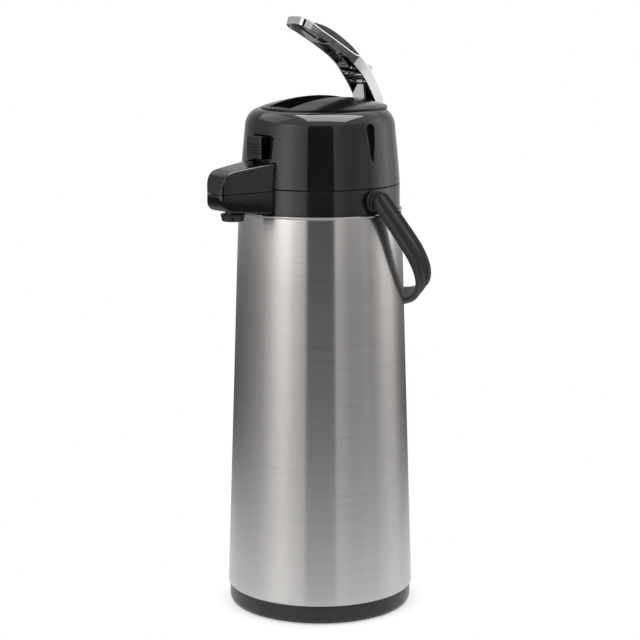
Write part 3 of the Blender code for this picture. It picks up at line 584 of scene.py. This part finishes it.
def make_crown():
    """Domed insert with the lever's slot from its front edge to the back."""
    crown = dome("crown_cover_looks", 0.0, 376.0, 22, 192)
    gap = 0.15
    shoulder = arc((HEAD_TOP_R, SHOULDER_Z), SHOULDER_R + gap, 90.0, 0.0, 20,
                   (SHOULDER_RISE + gap) / (SHOULDER_R + gap))
    inner = HEAD_TOP_R - 2 * gap
    over = turned("over_head", shoulder + [(60.3, 323.6), (inner, 323.6), (inner, 379.05)], 192)
    over_tray = show(over.copy())
    cut(crown, dome("crown_inside", 2.4, 350.0))
    cut(crown, over)
    tray = block("tray", (-15.0, -42.0, 372.0), (15.0, 43.0, 390.0))
    combine(tray, "INTERSECT", dome("tray_limit", 1.6, 350.0, 12, 96))
    cut(tray, over_tray)
    join(crown, tray)
    cut(crown, block("lever_slot", (-12.6, -40.0, 374.5), (12.6, 90.0, 400.0)),
        block("link_opening", (-8.0, 27.0, 360.0), (8.0, 90.0, 380.0)))
    soften(crown, 0.5, 3, 42.0)
    dress(weigh_normals(crown), "head", "gloss_black", "crown_cover", finish=CROWN_BLACK)


LATCH_LOW, LATCH_HIGH = 345.0, 361.8
RIB_Z, RIB_PITCH, RIBS = 349.2, 2.1, 4
LATCH_SHADE_SIDE = 0.7              # faces turned further sideways than this get painted shade in near-black


def make_latch():
    """Ribbed slide button with its carrier, two hook legs and a screen behind the window's lower gap."""
    front = rounded([(9.0, -53.0), (9.0, -62.6), (7.6, -63.9), (0.0, -64.4), (-7.6, -63.9), (-9.0, -62.6),
                     (-9.0, -53.0)], 0.8, 4, sharp=(0, 6))
    button = prism("latch_button_looks", front, LATCH_LOW, LATCH_HIGH, view="plan")
    soften(button, 0.7, 3, 50.0)
    ribs = []
    for i in range(RIBS):
        z = RIB_Z + RIB_PITCH * i
        profile = [(-66.0, z - 0.2), (-63.2, z + 0.25), (-63.2, z + 0.65), (-66.0, z + 1.1)]
        ribs.append(prism("rib_%d" % i, profile, -7.9, 7.9))
    cut(button, *ribs)
    pieces = [block("carrier", (-8.6, -53.2, 347.8), (8.6, -46.5, 358.0)),
              block("screen", (-8.6, -53.2, 341.8), (8.6, -51.6, 348.5))]
    for side in (-1, 1):
        low, high = sorted((side * 6.4, side * 8.4))
        pieces.append(block("leg_%d" % side, (low, -53.6, 324.6), (high, -51.0, 352.0)))
    join(button, *pieces)
    soften(button, 0.15, 2, 40.0)
    dress(weigh_normals(button), "latch", "gloss_black", "latch_button")
    # Painted shade: the button's side faces get the near-black, standing for the shade beside it in its
    # window
    button.data.materials.append(SHADE_PAINT_BLACK)
    for face in button.data.polygons:
        if abs(face.normal.x) > LATCH_SHADE_SIDE:
            face.material_index = 1


# ---------------------------------------------------------------- lever

HINGE = Vector((50.0, 374.0))
HEEL_R = 6.5
REAR_R, FRONT_R = 78.0, 260.0
ARC_START, ARC_JOIN, ARC_END = 14.0, 58.0, 69.0
TIP_START, TIP_HALF = 67.2, 6.4
TIP_REACH, TIP_RISE = 0.35, 0.9
LEVER_HALF, LEVER_SKIN = 11.6, 1.4
LEVER_DEPTH, LEVER_BELLY, TIP_LIFT = 8.2, 1.2, 2.4
TUCK_START, TUCK_END, TUCK = 40.0, 54.0, 0.11     # the walls lean in below towards the tip
PAD_START, PAD_END, PAD_DEPTH, PAD_RISE = 51.0, 67.4, 1.4, 2.1
KNOB_X, KNOB_ANGLE = 6.0, 38.5
RIB_ANGLE = 61.6
LINK_TOP, LINK_LOW = Vector((0.0, 41.8, 396.5)), Vector((0.0, 36.0, 375.3))
SIDE = Vector((1.0, 0.0, 0.0))


def towards(degrees):
    angle = math.radians(degrees)
    return Vector((math.cos(angle), math.sin(angle)))


REAR_CENTRE = HINGE - towards(ARC_START) * (REAR_R - HEEL_R)
FRONT_CENTRE = REAR_CENTRE - towards(ARC_JOIN) * (FRONT_R - REAR_R)


def lever_point(angle, depth):
    """A point (y, z) below the lever's top line by depth; the tip is turned up a little."""
    if angle > TIP_START:
        share = (angle - TIP_START) / (ARC_END - TIP_START)
        lift = TIP_RISE * share * share
        return FRONT_CENTRE + towards(angle + TIP_REACH * share) * (FRONT_R + lift - depth)
    if angle < ARC_START:
        return HINGE + towards(angle) * (HEEL_R - depth)
    if angle <= ARC_JOIN:
        return REAR_CENTRE + towards(angle) * (REAR_R - depth)
    return FRONT_CENTRE + towards(angle) * (FRONT_R - depth)


def seat_depth(angle):
    """How far the pad's seat lies below the lever's top line."""
    share = (angle - PAD_START) / (PAD_END - PAD_START)
    if not 0 < share < 1:
        return 0.0
    return 0.9 * min(1.0, 8 * min(share, 1 - share)) + PAD_DEPTH * math.sin(math.pi * share)


def lever_depth(angle):
    """Height of the lever's walls from its top line down."""
    if angle < ARC_START:
        return HEEL_R
    share = (angle - ARC_START) / (ARC_END - ARC_START)
    grow = min(1.0, (angle - ARC_START) / 10.0)
    belly = LEVER_BELLY * math.sin(math.pi * share)
    return HEEL_R + (LEVER_DEPTH - HEEL_R) * grow + belly - TIP_LIFT * share ** 4


def lever_half(angle):
    """Half width of the lever; it closes to a round spoon at its tip."""
    share = max(0.0, (angle - TIP_START) / (ARC_END - TIP_START))
    return TIP_HALF + (LEVER_HALF - TIP_HALF) * math.sqrt(max(0.0, 1 - share ** 3))


def channel(angle, roof=LEVER_SKIN):
    """Cross-section of the lever: a U open downwards with rounded shoulders."""
    half, deep, seat = lever_half(angle), lever_depth(angle), seat_depth(angle)
    corner = 0.9
    lean = min(1.0, max(0.0, (angle - TUCK_START) / (TUCK_END - TUCK_START)))
    tuck = TUCK * lean * lean * (3 - 2 * lean) * (deep - seat - corner)
    rim = seat + corner
    outer = [(half - tuck * share, rim + (deep - rim) * share) for share in (1.0, 0.6, 0.25, 0.08)]
    outer += [(half - corner + corner * math.cos(t), seat + corner - corner * math.sin(t))
              for t in (0.0, 0.39, 0.79, 1.18, 1.57)]
    outer += [(half * 0.5, seat - 0.15), (0.0, seat - 0.2)]
    outer += [(-x, d) for x, d in outer[-2::-1]]
    inside = half - LEVER_SKIN - tuck
    ceiling = min(deep - 0.05, seat + roof)
    inner = [(inside, deep), (inside, (deep + ceiling) / 2), (inside - 0.3, ceiling + 0.25),
             (inside - 1.2, ceiling)]
    inner = [(-x, d) for x, d in inner] + [(0.0, ceiling)] + inner[::-1]
    loop = []
    for x, depth in outer + inner:
        y, z = lever_point(angle, depth)
        loop.append((x, y, z))
    return loop


def make_lever():
    """Chrome channel from its heel on the hinge to its spoon-shaped tip, with one rib across inside."""
    angles = [-160 + 174 * i / 24 for i in range(24)]
    angles += [ARC_START + (ARC_JOIN - ARC_START) * i / 36 for i in range(37)]
    angles += [ARC_JOIN + (ARC_END - 1.2 - ARC_JOIN) * i / 36 for i in range(1, 37)]
    loops = []
    for angle in angles:
        solid = angle < -50.0
        loops.append(channel(angle, HEEL_R if solid else LEVER_SKIN))
    for i in range(1, 7):
        angle = ARC_END - 1.2 + 1.2 * math.sin(math.pi / 2 * i / 6)
        loops.append(channel(angle, LEVER_SKIN + 4.0 * max(0, i - 2) / 4))
    lever = loft("lever_frame_looks", loops)
    cut(lever, rod("hinge_bore", (-20, *HINGE), (20, *HINGE), 2.0, 40),
        rod("notch", (10.9, -19.3, 442.9), (12.8, -19.3, 442.9), 0.6, 20, 0.1))
    soften(lever, 0.22, 2, 45.0)
    dress(weigh_normals(lever), "lever", "chrome", "lever_frame")
    rib_low = lever_point(RIB_ANGLE, 5.6)
    rib_top = lever_point(RIB_ANGLE, 2.0)
    rib = rod("lever_rib", (-9.4, *rib_low), (9.4, *rib_low), 0.45, 16, 0.1)
    thick = Vector((0.35, 0.0))
    web = [tuple(rib_low + thick), tuple(rib_low - thick), tuple(rib_top - thick), tuple(rib_top + thick)]
    join(rib, prism("lever_rib_web", web, -9.5, 9.5))
    dress(rib, "lever", "chrome")


def make_pad():
    """Black grip let into the top of the lever, with fine ridges along it."""
    loops = []
    count = 48
    for i in range(count + 1):
        share = i / count
        angle = PAD_START + 0.35 + (PAD_END - PAD_START - 0.55) * share
        low = max(0.15, seat_depth(angle) - 0.02)
        top = -0.35 - PAD_RISE * math.sin(math.pi * share ** 2.2)
        half = lever_half(angle) - 0.35
        right = [(half, low), (half, top + 0.7), (half - 0.25, top + 0.25), (half - 0.9, top),
                 (6.4, top), (6.1, top + 0.3), (5.8, top), (2.4, top), (2.1, top + 0.3), (1.8, top)]
        loop = []
        for x, depth in right + [(-x, d) for x, d in right[::-1]]:
            y, z = lever_point(angle, min(depth, low))
            loop.append((x, y, z))
        loops.append(loop)
    dress(loft("lever_pad_looks", loops), "lever", "satin_black", "lever_pad")


def make_lever_bars():
    """The lever's cross bar, its two pins and the lock knob on its back."""
    bar = rod("cross_bar_looks", (-9.3, 39.4, 401.6), (9.3, 39.4, 401.6), 2.1, 48, 0.4)
    dress(bar, "lever", "chrome", "lever_cross_bar")
    pin = rod("link_pin_looks", LINK_TOP - SIDE * 11.2, LINK_TOP + SIDE * 11.2, 1.4, 40, 0.3)
    dress(pin, "lever", "chrome", "link_pin")
    foot = REAR_CENTRE + towards(KNOB_ANGLE) * (REAR_R + 0.3)
    tip = REAR_CENTRE + towards(KNOB_ANGLE) * (REAR_R + 3.9)
    knob = rod("lock_knob_looks", (KNOB_X, *foot), (KNOB_X, *tip), 2.4, 40, 0.7)
    dress(knob, "lock", "white_plastic", "lock_knob")
    hinge = rod("hinge_pin_looks", (-11.8, *HINGE), (11.8, *HINGE), 1.6, 40, 0.35)
    dress(hinge, "head", "plain_steel", "lever_hinge_pin")


def make_push_link():
    """Kite-shaped plate with a rolled eye at each end."""
    along = LINK_LOW - LINK_TOP
    length = along.length
    right = [(2.2, 0.0), (6.4, length * 0.46), (3.9, length * 0.86), (3.9, length)]
    link = prism("push_link_looks", right + [(-x, y) for x, y in right[::-1]], -0.9, 0.9, view="plan")
    down = along.normalized()
    turn = Matrix((SIDE, down, SIDE.cross(down))).transposed().to_4x4()
    link.data.transform(Matrix.Translation(LINK_TOP * MM) @ turn)
    join(link, rod("eye_top", LINK_TOP - SIDE * 3.0, LINK_TOP + SIDE * 3.0, 2.6),
         rod("eye_low", LINK_LOW - SIDE * 4.0, LINK_LOW + SIDE * 4.0, 4.0))
    cut(link, rod("hole_top", LINK_TOP - SIDE * 12, LINK_TOP + SIDE * 12, 1.75),
        rod("hole_low", LINK_LOW - SIDE * 12, LINK_LOW + SIDE * 12, 2.8))
    soften(link, 0.2, 2, 40.0)
    dress(weigh_normals(link), "link", "chrome", "push_link", finish=LINK_METAL)


# ---------------------------------------------------------------- bail

BAIL_ANGLE = 49.8             # degrees that the hanging bail slopes down behind the pot
BAIL_OUT_X = 70.8
BAIL_STRAIGHT, BAIL_REACH = 40.0, 113.8
BAIL_POWER = 2.17             # of the superellipse that its bow follows
BAIL_HALF_END, BAIL_HALF = 7.0, 7.7
END_STEPS, SIDE_STEPS, BOW_STEPS = 14, 8, 44


def bail_path():
    """Outer line of the bail from its +X pivot round its bow to the -X one, as (x, reach)."""
    right = []
    for i in range(END_STEPS):
        right.append((BAIL_OUT_X, -BAIL_HALF_END * math.cos(math.pi / 2 * i / (END_STEPS - 1))))
    for i in range(1, SIDE_STEPS):
        right.append((BAIL_OUT_X, BAIL_STRAIGHT * i / SIDE_STEPS))
    rise = BAIL_REACH - BAIL_STRAIGHT
    for i in range(BOW_STEPS + 1):
        turn = math.pi / 2 * i / BOW_STEPS
        right.append((BAIL_OUT_X * max(0.0, math.cos(turn)) ** (2 / BAIL_POWER),
                      BAIL_STRAIGHT + rise * math.sin(turn) ** (2 / BAIL_POWER)))
    return [Vector(p) for p in right] + [Vector((-x, y)) for x, y in right[-2::-1]]


# Cross-section of the bail: (share of its half width, depth below its outer line)
BAIL_SECTION = ((-1.0, 1.5), (-0.985, 0.75), (-0.94, 0.2), (-0.88, 0.0), (-0.80, 0.02), (-0.75, 0.2),
                (-0.70, 0.62), (-0.64, 0.72), (-0.34, 0.66), (-0.29, 0.55), (-0.25, 0.12), (-0.20, 0.02),
                (0.20, 0.02), (0.25, 0.12), (0.29, 0.55), (0.34, 0.66), (0.64, 0.72), (0.70, 0.62),
                (0.75, 0.2), (0.80, 0.02), (0.88, 0.0), (0.94, 0.2), (0.985, 0.75), (1.0, 1.5), (1.0, 3.9),
                (0.97, 4.6), (0.88, 4.95), (0.5, 5.0), (0.0, 5.0), (-0.5, 5.0), (-0.88, 4.95), (-0.97, 4.6),
                (-1.0, 3.9))


def make_bail():
    """Flat bow with a ridged outside, hanging behind the pot on its two pivots."""
    path = bail_path()
    loops = []
    for i, point in enumerate(path):
        ahead = path[min(i + 1, len(path) - 1)] - path[max(i - 1, 0)]
        inward = Vector((-ahead.y, ahead.x)).normalized()
        reach = point.y
        if reach < 0.0:
            half = math.sqrt(max(0.04, BAIL_HALF_END ** 2 - reach ** 2))
        else:
            half = BAIL_HALF_END + (BAIL_HALF - BAIL_HALF_END) * min(1.0, reach / 45.0)
        fade = min(1.0, half / 5.0)
        loop = []
        for across, depth in BAIL_SECTION:
            relief = depth if depth > 1.0 else depth * fade
            flat = point + inward * relief
            loop.append((flat.x, flat.y, across * half))
        loops.append(loop)
    bail = loft("bail_handle_looks", loops)
    turn = Matrix.Rotation(-math.radians(BAIL_ANGLE), 4, "X")
    bail.data.transform(Matrix.Translation((0.0, 0.0, PIVOT_Z * MM)) @ turn)
    cut(bail, *[rod("bore_%d" % side, (side * 60.0, 0, PIVOT_Z), (side * 69.3, 0, PIVOT_Z), 3.3)
                for side in (-1, 1)])
    dress(bail, "bail", "satin_black", "bail_handle", finish=BAIL_BLACK)


make_base()
make_shell()
make_collar()
make_bosses()
make_spout()
make_nozzle()
make_head()
make_crown()
make_latch()
make_lever()
make_pad()
make_lever_bars()
make_push_link()
make_bail()


# ---------------------------------------------------------------- studio

CAMERA_AZIMUTH = 49.0         # degrees from the spout's side towards +X
CAMERA_DISTANCE = 1.470
CAMERA_HEIGHT = 0.4968
CAMERA_PITCH = 10.73          # degrees that it looks down
CAMERA_LENS, CAMERA_SENSOR = 110.95, 36.0


def studio_direction(degrees):
    """Level direction turned from the camera's azimuth; positive is to the camera's right."""
    angle = math.radians(CAMERA_AZIMUTH + degrees)
    return Vector((math.sin(angle), -math.cos(angle), 0.0))


def make_camera():
    data = bpy.data.cameras.new("camera")
    data.lens = CAMERA_LENS
    data.sensor_width = CAMERA_SENSOR
    camera = show(bpy.data.objects.new("camera", data))
    camera.location = studio_direction(0.0) * CAMERA_DISTANCE + Vector((0.0, 0.0, CAMERA_HEIGHT))
    camera.rotation_euler = (math.radians(90.0 - CAMERA_PITCH), 0.0, math.radians(CAMERA_AZIMUTH))
    bpy.context.scene.camera = camera


# Brightness round the tent: (degrees from the camera, to its right; brightness)
TENT = ((-180, 0.60), (-140, 0.36), (-115, 0.38), (-95, 0.54), (-82, 0.72), (-72, 1.15), (-62, 1.70),
        (-53, 2.08), (-44, 2.00), (-36, 1.42), (-28, 1.18), (-20, 0.85), (-18.5, 0.72), (-17.5, 0.01),
        (19.5, 0.01), (20.5, 0.85), (29, 0.70), (40, 0.48), (52, 0.50), (64, 0.62), (74, 0.55), (84, 0.90),
        (96, 1.50), (112, 1.70), (122, 1.10), (136, 0.62), (160, 0.60))
TENT_R, TENT_TOP, TENT_STRIPS = 2.4, 1.9, 12
TENT_FOOT = -0.01
TENT_WHITE = (1.0, 0.985, 0.975, 1.0)
WHITE = (1.0, 1.0, 1.0, 1.0)

FLOOR_GLOW = 0.42
FLOOR_FADE = (0.074, 0.15)    # the floor fades out between these radii
CARD_Z = -0.004
CARD_FADE = (0.10, 0.72)      # the card dims between these radii,
CARD_GLOW = (0.84, 0.08)      # from the first brightness to the second


def radial(nodes, links, radii, ends):
    """A value that goes smoothly from ends[0] within radii[0] of the axis to ends[1] past radii[1]."""
    where = nodes.new("ShaderNodeTexCoord")
    length = nodes.new("ShaderNodeVectorMath")
    length.operation = "LENGTH"
    fade = nodes.new("ShaderNodeMapRange")
    fade.interpolation_type = "SMOOTHSTEP"
    fade.inputs["From Min"].default_value, fade.inputs["From Max"].default_value = radii
    fade.inputs["To Min"].default_value, fade.inputs["To Max"].default_value = ends
    links.new(where.outputs["Object"], length.inputs[0])
    links.new(length.outputs["Value"], fade.inputs["Value"])
    return fade.outputs["Result"]


def glowing(name):
    """A material that only shines; the strength is linked by whoever asks for it."""
    mat = bpy.data.materials.new(name)
    mat.use_nodes = True
    nodes, links = mat.node_tree.nodes, mat.node_tree.links
    nodes.clear()
    emission = nodes.new("ShaderNodeEmission")
    output = nodes.new("ShaderNodeOutputMaterial")
    links.new(emission.outputs["Emission"], output.inputs["Surface"])
    return mat, emission


def make_tent():
    """A ring of diffusing cloth round the object, lit unevenly; the camera looks through it."""
    work = bmesh.new()
    layer = work.faces.layers.float.new("glow")
    turns = list(TENT) + [(TENT[0][0] + 360, TENT[0][1])]
    for (first, glow), (second, next_glow) in zip(turns, turns[1:]):
        for i in range(TENT_STRIPS):
            low = first + (second - first) * i / TENT_STRIPS
            high = first + (second - first) * (i + 1) / TENT_STRIPS
            corners = []
            for angle, z in ((low, TENT_FOOT), (high, TENT_FOOT), (high, TENT_TOP), (low, TENT_TOP)):
                corners.append(work.verts.new(studio_direction(angle) * TENT_R + Vector((0.0, 0.0, z))))
            face = work.faces.new(corners)
            face[layer] = glow + (next_glow - glow) * (i + 0.5) / TENT_STRIPS
    mesh = bpy.data.meshes.new("tent")
    work.to_mesh(mesh)
    work.free()
    tent = show(bpy.data.objects.new("tent", mesh))
    mat, emission = glowing("tent")
    stored = mat.node_tree.nodes.new("ShaderNodeAttribute")
    stored.attribute_name = "glow"
    emission.inputs["Color"].default_value = TENT_WHITE
    mat.node_tree.links.new(stored.outputs["Fac"], emission.inputs["Strength"])
    mesh.materials.append(mat)
    tent.visible_camera = False
    tent.visible_shadow = False


def panel(name, right, front, height, size, power, tilt=0.0):
    """A diffusing light placed by the camera's axes; it faces down, tilted towards the camera's right."""
    data = bpy.data.lights.new(name, "AREA")
    data.shape = "RECTANGLE"
    data.size, data.size_y = size
    data.energy = power
    light = show(bpy.data.objects.new(name, data))
    level = studio_direction(90.0) * right + studio_direction(0.0) * front
    light.location = level + Vector((0.0, 0.0, height))
    light.rotation_euler = (Matrix.Rotation(math.radians(CAMERA_AZIMUTH), 3, "Z")
                            @ Matrix.Rotation(-math.radians(tilt), 3, "Y")).to_euler()
    light.visible_camera = False
    return light


def shine_only_on(light, *names):
    """Limit a light to the named pieces: shining on all, it would wash out the chrome and the steel."""
    lit = bpy.data.collections.new(light.name + "_receivers")
    for name in names:
        lit.objects.link(bpy.data.objects[name])
    light.light_linking.receiver_collection = lit


def fading_floor():
    """White floor that melts into the white background away from the object."""
    mat = new_material("floor", (0.88, 0.88, 0.88), 0.9)
    shader_of(mat).inputs["Emission Color"].default_value = WHITE
    shader_of(mat).inputs["Emission Strength"].default_value = FLOOR_GLOW
    nodes, links = mat.node_tree.nodes, mat.node_tree.links
    clear = nodes.new("ShaderNodeBsdfTransparent")
    mix = nodes.new("ShaderNodeMixShader")
    links.new(radial(nodes, links, FLOOR_FADE, (0.0, 1.0)), mix.inputs["Fac"])
    links.new(shader_of(mat).outputs["BSDF"], mix.inputs[1])
    links.new(clear.outputs["BSDF"], mix.inputs[2])
    links.new(mix.outputs["Shader"], nodes["Material Output"].inputs["Surface"])
    return mat


def make_under_card():
    """What polished parts see of the table: bright near the object, dim further out."""
    work = bmesh.new()
    bmesh.ops.create_circle(work, cap_ends=True, segments=96, radius=TENT_R)
    card = from_bmesh("under_card", work)
    card.location.z = CARD_Z
    mat, emission = glowing("under_card")
    nodes, links = mat.node_tree.nodes, mat.node_tree.links
    links.new(radial(nodes, links, CARD_FADE, CARD_GLOW), emission.inputs["Strength"])
    card.data.materials.append(mat)
    card.visible_camera = False
    card.visible_diffuse = False
    card.visible_shadow = False


def make_studio():
    """Floor, card, tent, the two lights of the head and a white background."""
    work = bmesh.new()
    bmesh.ops.create_circle(work, cap_ends=True, segments=128, radius=TENT_R - 0.01)
    floor = from_bmesh("floor", work)
    floor.data.materials.append(fading_floor())
    floor.visible_glossy = False
    make_under_card()
    make_tent()
    top_light = panel("top_light", 0.32, 0.12, 2.0, (1.62, 1.7), 52.0)
    shine_only_on(top_light, "head_shell_looks", "spout_cover_looks")
    left_light = panel("left_light", -1.5, -0.75, 1.95, (1.3, 2.2), 7.0, 40.0)
    shine_only_on(left_light, "head_shell_looks")
    world = bpy.data.worlds.new("studio")
    world.use_nodes = True
    background = world.node_tree.nodes["Background"]
    background.inputs["Color"].default_value = WHITE
    background.inputs["Strength"].default_value = 1.0
    bpy.context.scene.world = world
    bpy.context.scene.view_settings.view_transform = "Standard"


make_camera()
make_studio()
